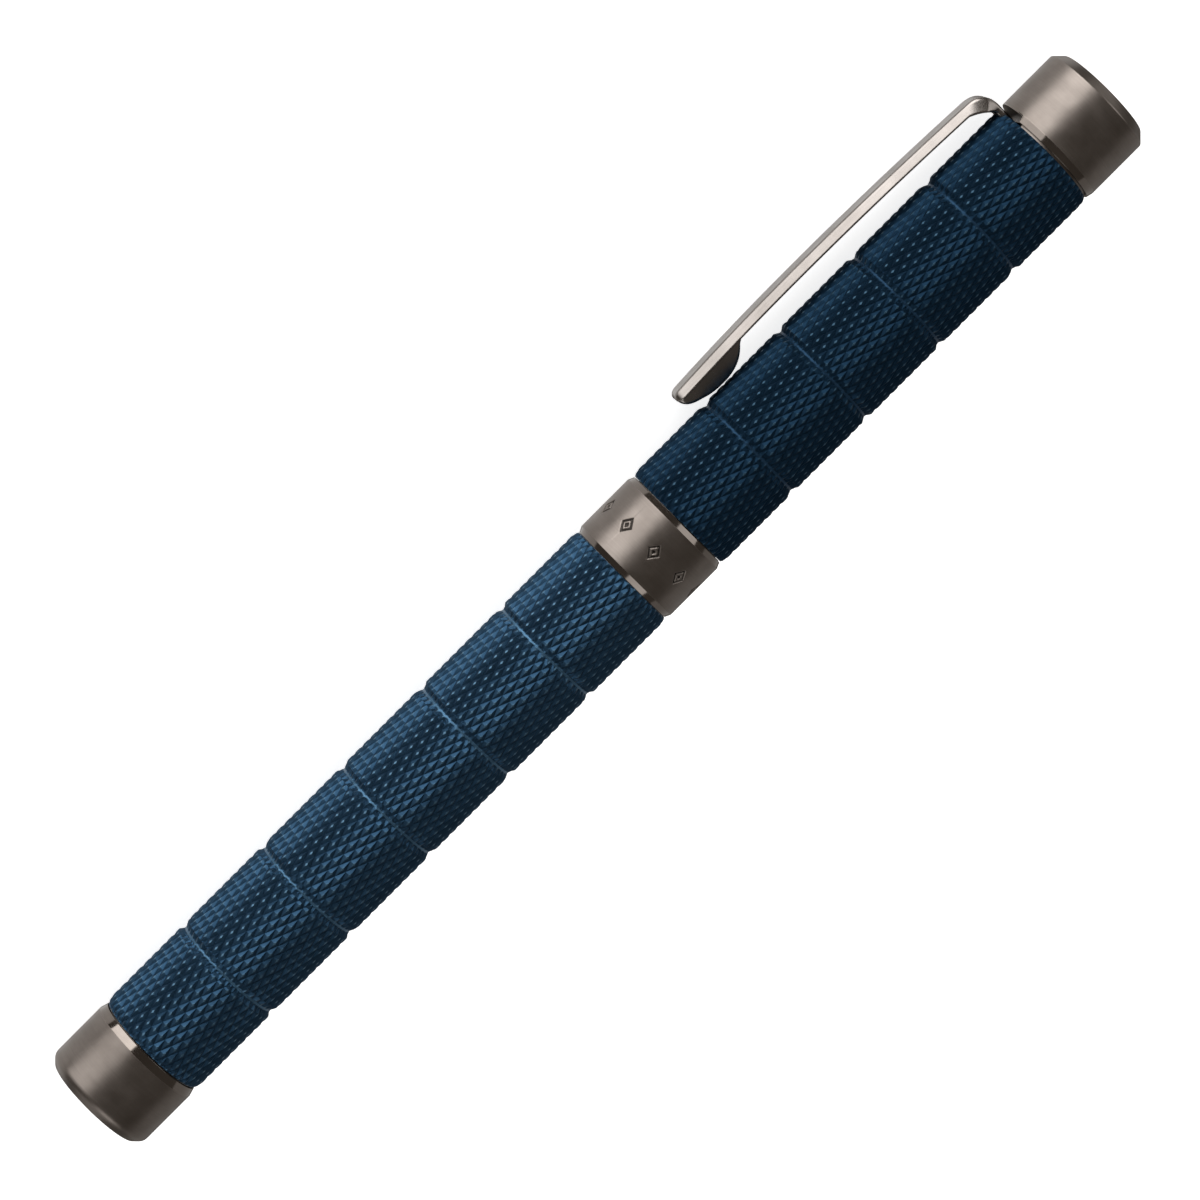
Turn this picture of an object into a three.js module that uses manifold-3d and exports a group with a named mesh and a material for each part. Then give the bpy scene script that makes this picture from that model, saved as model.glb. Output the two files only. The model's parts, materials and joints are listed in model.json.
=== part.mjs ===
// A capped rollerball pen with a knurled metal body, lying on a table the way it comes to rest:
// on its body and on the outer edge of its pocket clip. Units are millimetres, +Z is up and the
// cap points to +X. A station is a distance along the pen's axis from the flat face of its tail.
import * as THREE from "three";
import { mergeVertices } from "three/addons/utils/BufferGeometryUtils.js";
import Module from "manifold-3d";

// Overall size, and the stations where one visible piece of the body meets the next.
const PEN_LENGTH = 140;
const BODY_RADIUS = 6.2;
const BARREL_START = 8;
const RING_START = 73.45;
const RING_END = 81.15;
const CROWN_START = 131.55;
const SEAM = 0.05; // how far each piece stops short of such a station

// Knurled tubes: segments of equal length parted by turned grooves with sloping sides.
const BARREL_SEGMENTS = 6;
const CAP_SEGMENTS = 5;
const GROOVE_WIDTH = 1.1;
const GROOVE_FLOOR = 0.2;
const GROOVE_DEPTH = 0.3;
const SEGMENT_GAP = 0.7;
const TUBE_EDGE = { along: 0.5, deep: 0.25 };

// Plain end pieces and the centre ring, with turned chamfers.
const END_CHAMFER = 1;
const INNER_CHAMFER = { along: 0.8, deep: 0.25 };
const RING_CHAMFER = { along: 0.7, deep: 0.3 };

// Inside radii of the tubes, and the radii of what fits in them.
const BARREL_BORE = 5;
const CAP_BORE = 5.35;
const RING_BORE = 4.98;
const RING_SPIGOT_RADIUS = 5.3;
const THREAD_RADIUS = 4.2;
const BUSH_BORE = 4.3;
const REFILL_RADIUS = 3;
const REFILL_BORE = 3.1;
const STUD_RADIUS = 3.4;
const SCREW_RADIUS = 1.2;
const SCREW_BORE = 1.35;
const FIT = 0.05; // radial play of pressed and pushed-in pieces

// Standard rollerball refill, 110.5 mm from its end plug to the point of its ball.
const REFILL_START = 13.55;
const REFILL_LENGTH = 110.5;
const BALL_RADIUS = 0.35;
const BALL_STATION = REFILL_START + REFILL_LENGTH - BALL_RADIUS;

// Grip section: threaded coupling, trim ring, grip and nose.
const THREAD_START = 64.7;
const GRIP_START = 75.3;
const GRIP_END = 112;
const NOSE_END = 121.3;

// Pocket clip: its widths at its outer face, at its underside and at its root, its tip, the
// radii of its faces in the middle of its bow, and the tang at its root. The tang stands in a
// slot that is narrow in the cap tube and wide in the crown.
const CLIP_WIDTH = { outer: 2.8, inner: 3.9, root: 2.7 };
const CLIP_TIP = 89.25;
const CLIP_CREST = 9.7;
const CLIP_UNDERSIDE = 8.62;
const CLIP_TANG = { start: 131.02, end: 131.8, depth: 4.5 };
const SLOT = { start: 130.72, end: 132.35, depth: 4.2, narrow: 3.4, wide: 7.6 };

// Sides of the faceted round pieces.
const BODY_SIDES = 40;
const INNER_SIDES = 24;
const SMALL_SIDES = 16;

const FINISHES = {
  gunmetal: { color: 0x6f6661, roughness: 0.36, metalness: 1 },
  blue: { color: 0x234f7c, roughness: 0.4, metalness: 0.9 },
  steel: { color: 0xb9b1ab, roughness: 0.28, metalness: 1 },
  brass: { color: 0xb5904c, roughness: 0.35, metalness: 1 },
  blackPlastic: { color: 0x1c1c1f, roughness: 0.5, metalness: 0 },
  rubber: { color: 0x161617, roughness: 0.8, metalness: 0 },
  fibre: { color: 0x23304e, roughness: 0.95, metalness: 0 },
  carbide: { color: 0x8d8f93, roughness: 0.15, metalness: 1 },
};

const wasm = await Module();
wasm.setup();

// A manifold solid of a closed geometry.
function solidOf(geometry) {
  const bare = geometry.clone();
  bare.deleteAttribute("normal");
  bare.deleteAttribute("uv");
  const merged = mergeVertices(bare, 1e-5);
  const vertProperties = new Float32Array(merged.attributes.position.array);
  const triVerts = new Uint32Array(merged.index.array);
  return new wasm.Manifold(new wasm.Mesh({ numProp: 3, vertProperties, triVerts }));
}

// The geometry of a manifold solid.
function geometryOf(solid) {
  const mesh = solid.getMesh();
  const geometry = new THREE.BufferGeometry();
  geometry.setAttribute("position", new THREE.BufferAttribute(mesh.vertProperties, 3));
  geometry.setIndex(new THREE.BufferAttribute(mesh.triVerts, 1));
  geometry.computeVertexNormals();
  return geometry;
}

function piece(name, finish, geometry) {
  const mesh = new THREE.Mesh(geometry, new THREE.MeshStandardMaterial(FINISHES[finish]));
  mesh.name = name;
  return mesh;
}

// A round piece about the pen's axis. The outline is a list of [station, radius] points that
// either starts and ends on the axis or runs round a ring's section.
function turned(name, finish, sides, outline) {
  const points = outline.map(([station, radius]) => new THREE.Vector2(radius, station));
  if (points[0].x > 0) points.push(points[0].clone());
  if (THREE.ShapeUtils.area(points) < 0) points.reverse();
  const geometry = new THREE.LatheGeometry(points, sides);
  geometry.rotateZ(-Math.PI / 2);
  return piece(name, finish, geometry);
}

// Outline of a plain sleeve, and of a plain rod.
const sleeve = (start, end, inner, outer) => [
  [start, inner],
  [start, outer],
  [end, outer],
  [end, inner],
];
const rod = (start, end, radius) => [
  [start, 0],
  [start, radius],
  [end, radius],
  [end, 0],
];

// A knurled tube, at the height of the knurl's crests, with a groove between its segments.
function knurledTube(name, start, end, segments, bore) {
  const outline = [
    [start, bore],
    [start, BODY_RADIUS - TUBE_EDGE.deep],
    [start + TUBE_EDGE.along, BODY_RADIUS],
  ];
  const pitch = (end - start + SEGMENT_GAP) / segments;
  for (let i = 1; i < segments; i += 1) {
    const groove = start + i * pitch - SEGMENT_GAP / 2;
    outline.push([groove - GROOVE_WIDTH / 2, BODY_RADIUS]);
    outline.push([groove - GROOVE_FLOOR / 2, BODY_RADIUS - GROOVE_DEPTH]);
    outline.push([groove + GROOVE_FLOOR / 2, BODY_RADIUS - GROOVE_DEPTH]);
    outline.push([groove + GROOVE_WIDTH / 2, BODY_RADIUS]);
  }
  outline.push([end - TUBE_EDGE.along, BODY_RADIUS]);
  outline.push([end, BODY_RADIUS - TUBE_EDGE.deep]);
  outline.push([end, bore]);
  return turned(name, "blue", BODY_SIDES, outline);
}

// The chamfered end piece of the barrel, bored from inside for its fitting.
function tailCap() {
  const end = BARREL_START - SEAM;
  const boreFloor = 2;
  return turned("tail_cap", "gunmetal", BODY_SIDES, [
    [0, 0],
    [0, BODY_RADIUS - END_CHAMFER],
    [END_CHAMFER, BODY_RADIUS],
    [end - INNER_CHAMFER.along, BODY_RADIUS],
    [end, BODY_RADIUS - INNER_CHAMFER.deep],
    [end, THREAD_RADIUS + FIT],
    [boreFloor, THREAD_RADIUS + FIT],
    [boreFloor, 0],
  ]);
}

// The brass plug that holds the tail cap on the barrel tube and pockets the refill's spring.
function tailFitting() {
  const plugStart = 2.2;
  const flangeStart = BARREL_START + 2 * SEAM;
  const flangeEnd = 13;
  const pocketRadius = 2.75;
  const pocketFloor = 6;
  return turned("tail_fitting", "brass", INNER_SIDES, [
    [plugStart, 0],
    [plugStart, THREAD_RADIUS - FIT],
    [flangeStart, THREAD_RADIUS - FIT],
    [flangeStart, BARREL_BORE - 2 * FIT],
    [flangeEnd, BARREL_BORE - 2 * FIT],
    [flangeEnd, pocketRadius],
    [pocketFloor, pocketRadius],
    [pocketFloor, 0],
  ]);
}

// The small coil spring that pushes the refill forward against the nose.
function refillSpring() {
  const wireRadius = 0.22;
  const coilRadius = 2.2;
  const turns = 5;
  const stepsPerTurn = 12;
  const start = 6.4;
  const end = REFILL_START - 0.35;
  const centres = [];
  for (let i = 0; i <= turns * stepsPerTurn; i += 1) {
    const share = i / (turns * stepsPerTurn);
    const angle = 2 * Math.PI * turns * share;
    const station = THREE.MathUtils.lerp(start, end, share);
    centres.push(
      new THREE.Vector3(station, coilRadius * Math.cos(angle), coilRadius * Math.sin(angle)),
    );
  }
  const wire = new THREE.Shape();
  wire.absarc(0, 0, wireRadius, 0, 2 * Math.PI);
  const geometry = new THREE.ExtrudeGeometry(wire, {
    extrudePath: new THREE.CatmullRomCurve3(centres),
    steps: turns * stepsPerTurn,
    curveSegments: 3,
  });
  return piece("refill_spring", "steel", geometry);
}

// The brass bush in the barrel's mouth: a threaded bore with a wider seat for the seal.
function threadBush() {
  const start = 64.3;
  const end = RING_START - 0.2;
  const seat = { start: 71.6, radius: 4.8 };
  return turned("thread_bush", "brass", INNER_SIDES, [
    [start, BUSH_BORE],
    [start, BARREL_BORE - 2 * FIT],
    [end, BARREL_BORE - 2 * FIT],
    [end, seat.radius],
    [seat.start, seat.radius],
    [seat.start, BUSH_BORE],
  ]);
}

function barrelPieces() {
  const start = BARREL_START + SEAM;
  return [
    tailCap(),
    tailFitting(),
    refillSpring(),
    knurledTube("barrel_tube", start, RING_START, BARREL_SEGMENTS, BARREL_BORE),
    threadBush(),
  ];
}

// The refill: a metal ink tube with an end plug, a fibre reservoir, a wick, a feed and a tip.
function refillPieces() {
  const tubeWall = 0.4;
  const inside = REFILL_RADIUS - tubeWall;
  const plugHead = REFILL_START + 0.9;
  const plugEnd = REFILL_START + 3.5;
  const reservoirEnd = 98;
  const wickStart = 92.3;
  const wickEnd = 118.5;
  const wickRadius = 0.5;
  const wickBore = wickRadius + 0.1;
  const feedStart = 98.5;
  const flangeStart = 108.1;
  const flangeEnd = 109;
  const neckRadius = 1.75;
  const neckEnd = 119;
  const tipSeat = 117.4;
  const tipSpigot = 1.1;
  const tipMouth = BALL_STATION - 0.1;
  const channel = 0.25;
  const socket = BALL_RADIUS + FIT;
  return [
    turned("refill_end_plug", "blackPlastic", INNER_SIDES, [
      [REFILL_START, 0],
      [REFILL_START, REFILL_RADIUS - 0.4],
      [REFILL_START + 0.4, REFILL_RADIUS],
      [plugHead, REFILL_RADIUS],
      [plugHead, inside - FIT],
      [plugEnd, inside - FIT],
      [plugEnd, 0],
    ]),
    turned(
      "refill_tube",
      "steel",
      INNER_SIDES,
      sleeve(plugHead + SEAM, flangeStart - SEAM, inside, REFILL_RADIUS),
    ),
    turned("ink_reservoir", "fibre", INNER_SIDES, [
      [plugEnd + 0.2, 0],
      [plugEnd + 0.2, inside - 0.1],
      [reservoirEnd, inside - 0.1],
      [reservoirEnd, wickBore],
      [wickStart - 0.2, wickBore],
      [wickStart - 0.2, 0],
    ]),
    turned("ink_wick", "fibre", SMALL_SIDES, rod(wickStart, wickEnd, wickRadius)),
    turned("refill_feed", "blackPlastic", INNER_SIDES, [
      [feedStart, wickBore],
      [feedStart, inside - FIT],
      [flangeStart, inside - FIT],
      [flangeStart, REFILL_RADIUS],
      [flangeEnd, REFILL_RADIUS],
      [flangeEnd, neckRadius],
      [neckEnd, neckRadius],
      [neckEnd, tipSpigot + FIT],
      [tipSeat, tipSpigot + FIT],
      [tipSeat, wickBore],
    ]),
    turned("refill_tip", "steel", INNER_SIDES, [
      [tipSeat + 0.2, wickBore],
      [tipSeat + 0.2, tipSpigot],
      [neckEnd + SEAM, tipSpigot],
      [neckEnd + SEAM, 1.5],
      [neckEnd + 0.6, 1.5],
      [tipMouth, socket + 0.12],
      [tipMouth, socket],
      [BALL_STATION - BALL_RADIUS - 0.1, socket],
      [BALL_STATION - BALL_RADIUS - 0.1, channel],
      [wickEnd + 0.2, channel],
      [wickEnd + 0.2, wickBore],
    ]),
  ];
}

function writingBall() {
  const geometry = new THREE.SphereGeometry(BALL_RADIUS, SMALL_SIDES, SMALL_SIDES / 2);
  geometry.rotateZ(-Math.PI / 2);
  geometry.translate(BALL_STATION, 0, 0);
  return piece("writing_ball", "carbide", geometry);
}

// The rubber seal in a rounded section, round the coupling at the barrel's mouth.
function sectionSeal() {
  const ring = { station: 72.5, radius: 4.5, thickness: 0.22 };
  const corners = 8;
  const outline = [];
  for (let i = 0; i < corners; i += 1) {
    const angle = (2 * Math.PI * (i + 0.5)) / corners;
    outline.push([
      ring.station + ring.thickness * Math.cos(angle),
      ring.radius + ring.thickness * Math.sin(angle),
    ]);
  }
  return turned("section_seal", "rubber", INNER_SIDES, outline);
}

// The grip section, which screws into the barrel and carries the cap.
function sectionPieces() {
  const couplingEnd = 81;
  const couplingRadius = 3.9;
  const gripRadius = 4.7;
  const groove = { start: 80.5, end: 82, radius: 4.35 };
  const trim = { radius: 4.88, bevel: 0.25, drop: 0.18 };
  const noseRadius = 4.15;
  const noseBend = { station: 117, radius: 3.2 };
  const noseTip = 2.2;
  const noseSpigot = 3.6;
  const spigotStart = 108.2;
  const neckBore = 1.85;
  const shoulder = 109.2;
  const neckStop = 119.3;
  const tipBore = 1.65;
  return [
    turned("section_coupling", "brass", INNER_SIDES, [
      [THREAD_START, REFILL_BORE],
      [THREAD_START, THREAD_RADIUS - 0.3],
      [THREAD_START + 0.3, THREAD_RADIUS],
      [GRIP_START - 0.1, THREAD_RADIUS],
      [GRIP_START - 0.1, couplingRadius],
      [couplingEnd, couplingRadius],
      [couplingEnd, REFILL_BORE],
    ]),
    sectionSeal(),
    turned("section_trim_ring", "steel", INNER_SIDES, [
      [RING_START + SEAM, THREAD_RADIUS + FIT],
      [RING_START + SEAM, trim.radius - trim.drop],
      [RING_START + SEAM + trim.bevel, trim.radius],
      [GRIP_START - SEAM - trim.bevel, trim.radius],
      [GRIP_START - SEAM, trim.radius - trim.drop],
      [GRIP_START - SEAM, THREAD_RADIUS + FIT],
    ]),
    turned("section_grip", "gunmetal", INNER_SIDES, [
      [GRIP_START, couplingRadius + FIT],
      [GRIP_START, gripRadius],
      [groove.start, gripRadius],
      [groove.start, groove.radius],
      [groove.end, groove.radius],
      [groove.end, gripRadius - 0.1],
      [GRIP_END - 0.4, noseRadius],
      [GRIP_END, noseRadius - 0.2],
      [GRIP_END, noseSpigot + FIT],
      [spigotStart - 0.2, noseSpigot + FIT],
      [spigotStart - 0.2, REFILL_BORE],
      [couplingEnd + 0.2, REFILL_BORE],
      [couplingEnd + 0.2, couplingRadius + FIT],
    ]),
    turned("cap_snap_ring", "blackPlastic", INNER_SIDES, [
      [groove.start + 0.1, groove.radius + FIT],
      [groove.start + 0.1, gripRadius - 0.05],
      [groove.start + 0.4, gripRadius + 0.08],
      [groove.end - 0.4, gripRadius + 0.08],
      [groove.end - 0.1, gripRadius - 0.05],
      [groove.end - 0.1, groove.radius + FIT],
    ]),
    turned("section_nose", "steel", INNER_SIDES, [
      [spigotStart, REFILL_BORE],
      [spigotStart, noseSpigot],
      [GRIP_END + SEAM, noseSpigot],
      [GRIP_END + SEAM, noseRadius - 0.2],
      [GRIP_END + 0.4, noseRadius],
      [noseBend.station, noseBend.radius],
      [NOSE_END - 0.2, noseTip],
      [NOSE_END, noseTip - 0.15],
      [NOSE_END, tipBore],
      [neckStop, tipBore],
      [neckStop, neckBore],
      [shoulder, neckBore],
      [shoulder, REFILL_BORE],
    ]),
  ];
}

// The cap's centre ring, with a spigot that is pressed into the cap tube.
function capRing() {
  const start = RING_START + SEAM;
  const end = RING_END - SEAM;
  const spigotEnd = 85.5;
  return turned("cap_ring", "gunmetal", BODY_SIDES, [
    [start, RING_BORE],
    [start, BODY_RADIUS - RING_CHAMFER.deep],
    [start + RING_CHAMFER.along, BODY_RADIUS],
    [end - RING_CHAMFER.along, BODY_RADIUS],
    [end, BODY_RADIUS - RING_CHAMFER.deep],
    [end, RING_SPIGOT_RADIUS],
    [spigotEnd, RING_SPIGOT_RADIUS],
    [spigotEnd, RING_BORE],
  ]);
}

// The plain chamfered end of the cap: a seat for the clip's ring, a stud bore and a screw hole.
function crown() {
  const start = CROWN_START + SEAM;
  const ringSeat = { radius: 5.65, floor: 132.6 };
  const studFloor = 136.8;
  const screwFloor = 138.3;
  return turned("crown", "gunmetal", BODY_SIDES, [
    [PEN_LENGTH, 0],
    [PEN_LENGTH, BODY_RADIUS - END_CHAMFER],
    [PEN_LENGTH - END_CHAMFER, BODY_RADIUS],
    [start + INNER_CHAMFER.along, BODY_RADIUS],
    [start, BODY_RADIUS - INNER_CHAMFER.deep],
    [start, ringSeat.radius],
    [ringSeat.floor, ringSeat.radius],
    [ringSeat.floor, STUD_RADIUS + FIT],
    [studFloor, STUD_RADIUS + FIT],
    [studFloor, SCREW_BORE],
    [screwFloor, SCREW_BORE],
    [screwFloor, 0],
  ]);
}

// What lies inside the top of the cap: the fitting, the clip's ring, the screw and its washer.
function capTopPieces() {
  const fittingStart = 127.8;
  const fittingEnd = CROWN_START - 0.1;
  const studEnd = 136.6;
  const ring = { start: 131.95, end: 132.5, inner: 3.5, outer: 5.55 };
  const washer = { start: 127.45, end: 127.7, radius: 2.6 };
  const head = { start: 126, end: 127.4, radius: 2.4 };
  const screwEnd = 138;
  const screwPoint = 0.4;
  return [
    turned("cap_top_fitting", "brass", INNER_SIDES, [
      [fittingStart, SCREW_BORE],
      [fittingStart, RING_SPIGOT_RADIUS],
      [fittingEnd, RING_SPIGOT_RADIUS],
      [fittingEnd, STUD_RADIUS],
      [studEnd, STUD_RADIUS],
      [studEnd, SCREW_BORE],
    ]),
    turned("clip_ring", "steel", INNER_SIDES, sleeve(ring.start, ring.end, ring.inner, ring.outer)),
    turned(
      "lock_washer",
      "steel",
      SMALL_SIDES,
      sleeve(washer.start, washer.end, SCREW_BORE, washer.radius),
    ),
    turned("clip_screw", "steel", SMALL_SIDES, [
      [head.start, 0],
      [head.start, head.radius - 0.3],
      [head.start + 0.3, head.radius],
      [head.end, head.radius],
      [head.end, SCREW_RADIUS],
      [screwEnd - screwPoint, SCREW_RADIUS],
      [screwEnd, SCREW_RADIUS - screwPoint],
      [screwEnd, 0],
    ]),
  ];
}

// The plastic inner cap that closes round the tip, and the soft seal in its end.
function innerCapPieces() {
  const start = 86;
  const end = 125.6;
  const floor = 125;
  const inner = 4.9;
  const seal = { start: 124.35, radius: 2.4 };
  return [
    turned("inner_cap", "blackPlastic", INNER_SIDES, [
      [floor, 0],
      [floor, inner],
      [start, inner],
      [start, RING_SPIGOT_RADIUS],
      [end, RING_SPIGOT_RADIUS],
      [end, 0],
    ]),
    turned("tip_seal", "rubber", SMALL_SIDES, rod(seal.start, floor - SEAM, seal.radius)),
  ];
}

// Cuts the slot for the clip's tang out of a piece of the cap's top.
function slotted(mesh, width) {
  const high = BODY_RADIUS + 1;
  const cutter = new THREE.BoxGeometry(SLOT.end - SLOT.start, high - SLOT.depth, width);
  cutter.translate((SLOT.start + SLOT.end) / 2, (SLOT.depth + high) / 2, 0);
  mesh.geometry = geometryOf(solidOf(mesh.geometry).subtract(solidOf(cutter)));
  return mesh;
}

function capPieces() {
  const start = RING_END + SEAM;
  const end = CROWN_START - SEAM;
  const [fitting, clipRing, washer, screw] = capTopPieces();
  return [
    capRing(),
    slotted(knurledTube("cap_tube", start, end, CAP_SEGMENTS, CAP_BORE), SLOT.narrow),
    ...innerCapPieces(),
    slotted(fitting, SLOT.wide),
    slotted(clipRing, SLOT.wide),
    washer,
    screw,
    slotted(crown(), SLOT.wide),
  ];
}

// The middle control radius of a bow that runs between two radii and rises to a crest.
const bowControl = (crest, from, to) => 2 * crest - (from + to) / 2;

// The clip's side view: a bowed arm with a round nose, bent down at its root into a flat tang.
function clipSide() {
  const nose = { station: 90.2, outer: 9.3, middle: 8.6, inner: 8.3 };
  const bend = { station: 129.4, outer: 9.1, inner: 8.08, foot: 6.4 };
  const bow = 107; // the bow is highest a little nearer to the nose than to the root
  const side = new THREE.Shape();
  side.moveTo(CLIP_TANG.start, CLIP_TANG.depth);
  side.lineTo(CLIP_TANG.end, CLIP_TANG.depth);
  side.lineTo(CLIP_TANG.end, bend.foot);
  side.quadraticCurveTo(CLIP_TANG.end + 0.1, bend.outer - 0.05, bend.station, bend.outer);
  const outerBow = bowControl(CLIP_CREST, bend.outer, nose.outer);
  side.quadraticCurveTo(bow, outerBow, nose.station, nose.outer);
  side.quadraticCurveTo(CLIP_TIP, nose.outer, CLIP_TIP, nose.middle);
  side.quadraticCurveTo(CLIP_TIP, nose.inner, nose.station, nose.inner);
  const innerBow = bowControl(CLIP_UNDERSIDE, nose.inner, bend.inner);
  side.quadraticCurveTo(bow, innerBow, bend.station - 0.6, bend.inner);
  side.quadraticCurveTo(CLIP_TANG.start - 0.6, bend.inner - 0.7, CLIP_TANG.start, bend.foot);
  side.closePath();
  return side;
}

// Side view of the pad under the clip's nose that presses on the cloth: a long slope from the
// nose, a short flat and a steeper heel that runs out into the arm.
function clipPad() {
  const flat = { start: 93.4, end: 94.2, radius: 6.5 };
  const slope = { station: 91.2, radius: 6.92 };
  const top = CLIP_UNDERSIDE + 0.2;
  const underArm = 8.35;
  const slopeStart = CLIP_TIP + 0.1;
  const pad = new THREE.Shape();
  pad.moveTo(slopeStart, top);
  pad.lineTo(slopeStart, underArm);
  pad.quadraticCurveTo(slopeStart + 0.2, 7.35, slope.station, slope.radius);
  pad.quadraticCurveTo(flat.start - 1.1, flat.radius, flat.start, flat.radius);
  pad.lineTo(flat.end, flat.radius);
  pad.quadraticCurveTo(flat.end + 1.6, flat.radius + 0.1, flat.end + 2.9, underArm - 0.5);
  pad.lineTo(flat.end + 3.4, underArm);
  pad.lineTo(flat.end + 3.4, top);
  pad.closePath();
  return pad;
}

// The clip seen from outside: a round nose, straight edges and a narrower root.
function clipPlan() {
  const half = CLIP_WIDTH.inner / 2;
  const rootHalf = CLIP_WIDTH.root / 2;
  const corner = 1.5;
  const taper = { start: 129, end: 131 };
  const rootEnd = CLIP_TANG.end + 1;
  const plan = new THREE.Shape();
  plan.moveTo(rootEnd, -rootHalf);
  plan.lineTo(rootEnd, rootHalf);
  plan.lineTo(taper.end, rootHalf);
  plan.lineTo(taper.start, half);
  plan.lineTo(CLIP_TIP + corner, half);
  plan.absellipse(CLIP_TIP + corner, half - corner, corner, corner, Math.PI / 2, Math.PI);
  plan.absellipse(CLIP_TIP + corner, corner - half, corner, corner, Math.PI, 1.5 * Math.PI);
  plan.lineTo(taper.start, -half);
  plan.lineTo(taper.end, -rootHalf);
  plan.closePath();
  return plan;
}

// The clip's cross-section above its underside, with sides that lean in to the outer face.
function clipSection() {
  const inner = CLIP_WIDTH.inner / 2;
  const lean = (CLIP_WIDTH.inner - CLIP_WIDTH.outer) / 2 / (CLIP_CREST - CLIP_UNDERSIDE);
  const above = 1;
  const top = CLIP_CREST + above;
  const topHalf = CLIP_WIDTH.outer / 2 - lean * above;
  const section = new THREE.Shape();
  section.moveTo(-inner, 0);
  section.lineTo(inner, 0);
  section.lineTo(inner, CLIP_UNDERSIDE);
  section.lineTo(topHalf, top);
  section.lineTo(-topHalf, top);
  section.lineTo(-inner, CLIP_UNDERSIDE);
  section.closePath();
  return section;
}

// A closed solid of a flat shape drawn out to a depth.
function drawnOut(shape, depth) {
  return new THREE.ExtrudeGeometry(shape, { depth, bevelEnabled: false, curveSegments: 6 });
}

function clipPiece() {
  const padWidth = 2.4;
  const length = CLIP_TANG.end - CLIP_TIP;
  const arm = drawnOut(clipSide(), CLIP_WIDTH.inner).translate(0, 0, -CLIP_WIDTH.inner / 2);
  const pad = drawnOut(clipPad(), padWidth).translate(0, 0, -padWidth / 2);
  const plan = drawnOut(clipPlan(), 2 * CLIP_CREST).rotateX(-Math.PI / 2);
  const section = drawnOut(clipSection(), length + 2);
  section.rotateY(Math.PI / 2).translate(CLIP_TIP - 1, 0, 0);
  const bar = solidOf(arm).add(solidOf(pad));
  const outline = solidOf(plan).intersect(solidOf(section));
  return piece("clip", "steel", geometryOf(bar.intersect(outline)));
}

// The pen lies on its body and on the lower outer edge of its clip, so the clip points to +Y and
// down by the angle at which that edge is as low as the body.
function restingRoll() {
  const halfWidth = CLIP_WIDTH.outer / 2;
  const edgeFromAxis = Math.hypot(CLIP_CREST, halfWidth);
  return -(Math.asin(BODY_RADIUS / edgeFromAxis) - Math.atan2(halfWidth, CLIP_CREST));
}

const pen = new THREE.Group();
pen.add(...barrelPieces());
pen.add(...refillPieces());
pen.add(writingBall());
pen.add(...sectionPieces());
pen.add(...capPieces());
pen.add(clipPiece());
pen.rotation.x = restingRoll();

// The origin is the middle of the pen's box, at table height.
const lying = new THREE.Group();
lying.add(pen);
lying.updateMatrixWorld(true);
const box = new THREE.Box3().setFromObject(lying, true);
const middle = box.getCenter(new THREE.Vector3());
pen.position.set(-middle.x, -middle.y, -box.min.z);

export default lying;
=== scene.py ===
"""A capped rollerball pen with a knurled blue body, lying on a pale table.

Round pieces are written as outlines of (station, radius) in millimetres, where a station is a
distance along the pen's axis from the flat face of its tail, and are turned into fine meshes in
the pen's own axes: X along the pen towards the cap, Y towards the clip.
"""

import json
import math

import bpy
import numpy as np
from mathutils import Matrix, Vector


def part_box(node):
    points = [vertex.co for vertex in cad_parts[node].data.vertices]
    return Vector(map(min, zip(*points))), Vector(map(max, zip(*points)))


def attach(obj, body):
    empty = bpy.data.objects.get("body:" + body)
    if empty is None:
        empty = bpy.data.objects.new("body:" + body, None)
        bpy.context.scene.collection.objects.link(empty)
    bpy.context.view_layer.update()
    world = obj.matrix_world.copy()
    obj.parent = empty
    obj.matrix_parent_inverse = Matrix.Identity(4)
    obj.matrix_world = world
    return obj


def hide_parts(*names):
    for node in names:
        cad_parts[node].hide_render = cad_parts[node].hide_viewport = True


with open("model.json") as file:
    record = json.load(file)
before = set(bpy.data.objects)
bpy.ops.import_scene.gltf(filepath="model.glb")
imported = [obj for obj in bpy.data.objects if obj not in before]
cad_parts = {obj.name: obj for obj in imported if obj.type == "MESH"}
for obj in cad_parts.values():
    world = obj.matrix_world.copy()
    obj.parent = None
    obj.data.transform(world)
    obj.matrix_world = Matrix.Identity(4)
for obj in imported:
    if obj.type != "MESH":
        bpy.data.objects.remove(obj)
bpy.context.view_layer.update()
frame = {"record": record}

MM = 0.001

# Knurl: diamonds from two crossing sets of V grooves, with small flats on their tops. The
# mesh has lines at these shares of each half diamond, so that they meet the flats' corners.
KNURL_LENGTH = 2.18
KNURL_COUNT = 41
KNURL_DEPTH = 0.2
KNURL_FLAT = 0.1
HALF_DIAMOND = np.array([0, KNURL_FLAT, 0.25, 0.5 - KNURL_FLAT])

# Turned grooves between the knurled segments, the tubes' eased edges, and the short length
# over which the knurl runs out beside both.
BARREL_SEGMENTS = 6
CAP_SEGMENTS = 5
SEGMENT_GAP = 0.7
GROOVE_WIDTH = 1.3
GROOVE_FLOOR = 0.12
GROOVE_DEPTH = 0.34
TUBE_EDGE = 0.6
TUBE_EDGE_DEPTH = 0.28
TUBE_EDGE_CURVE = 1.4
KNURL_RUN_OUT = 0.14

# Gaps that the tail cap's lip and the crown's lip leave beside the tubes.
TAIL_GAP = 0.05
CROWN_GAP = 0.15

# Radii inside the pen, and the screw thread's pitch and the sides of its mesh.
BARREL_BORE = 5.0
CAP_BORE = 5.35
RING_BORE = 4.98
SPIGOT_RADIUS = 5.3
THREAD_RADIUS = 4.2
THREAD_PITCH = 1.0
THREAD_SIDES = 96
REFILL_BORE = 3.1
STUD_RADIUS = 3.4
SCREW_BORE = 1.35

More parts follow.
